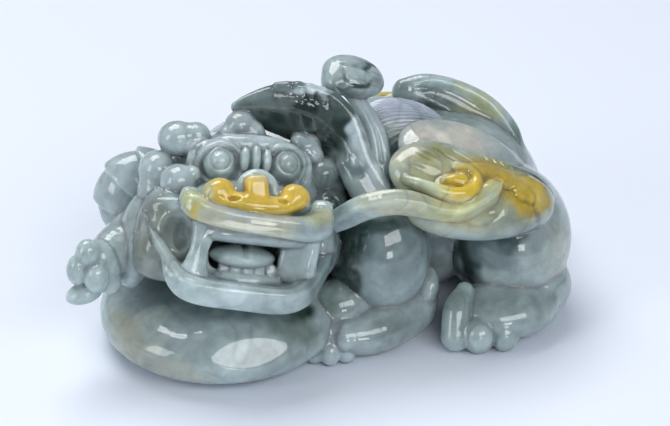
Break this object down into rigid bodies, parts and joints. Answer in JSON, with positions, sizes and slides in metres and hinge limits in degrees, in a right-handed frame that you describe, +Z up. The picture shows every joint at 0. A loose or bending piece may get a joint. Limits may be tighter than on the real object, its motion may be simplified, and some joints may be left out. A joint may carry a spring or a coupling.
{
  "type": "carved jade figurine",
  "caption": "Polished pale green jade figurine of a crouching winged mythical beast with an open mouth, resting on a round disc, with a leaf and a fungus on its back",
  "frame": {"origin": "centre of the bounding box at its bottom, on the surface the figurine stands on", "axes": "+X from the head end to the rump, the longest way; -Y to the side the face and the open wing look to; +Z up"},
  "size_m": [0.0992, 0.0606, 0.0485],
  "materials": {
    "pale_jade": "high polish",
    "grey_green_jade": "high polish",
    "dark_green_jade": "high polish",
    "yellow_jade": "high polish",
    "olive_jade": "high polish",
    "lavender_jade": "high polish"
  },
  "bodies": {
    "root": {"base_disc": "pale_jade", "brow_folds": "pale_jade", "cheek_left": "grey_green_jade", "cheek_right": "pale_jade", "crown_knob": "pale_jade", "curl_left_lower": "grey_green_jade", "curl_left_upper": "grey_green_jade", "curl_right_lower": "pale_jade", "curl_right_middle": "pale_jade", "curl_right_upper": "pale_jade", "elbow_tuft_left": "pale_jade", "eye_left": "pale_jade", "eye_right": "pale_jade", "fang_left": "pale_jade", "fang_right": "pale_jade", "forearm_left": "pale_jade", "forearm_right": "pale_jade", "haunch_left": "grey_green_jade", "haunch_right": "pale_jade", "hind_foot_left": "pale_jade", "hind_foot_right": "pale_jade", "jowl_right": "pale_jade", "leaf_crest": "dark_green_jade", "lingzhi_cap": "grey_green_jade", "lingzhi_stem": "grey_green_jade", "lower_jaw": "pale_jade", "lower_teeth": "pale_jade", "mane_left": "grey_green_jade", "mane_right": "pale_jade", "muzzle": "pale_jade", "nose": "yellow_jade", "paw_left": "pale_jade", "paw_right": "pale_jade", "shoulder_left": "grey_green_jade", "shoulder_right": "pale_jade", "side_knob": "pale_jade", "skull": "pale_jade", "spine_hair": "lavender_jade", "tail": "grey_green_jade", "tongue": "grey_green_jade", "torso": "grey_green_jade", "upper_lip": "pale_jade", "wing_left_lower": "pale_jade", "wing_left_main": "olive_jade", "wing_left_ribbon": "pale_jade", "wing_left_scroll": "olive_jade", "wing_left_tip": "olive_jade", "wing_left_upper": "pale_jade", "wing_right_main": "pale_jade", "wing_right_tip": "pale_jade"}
  },
  "joints": []
}
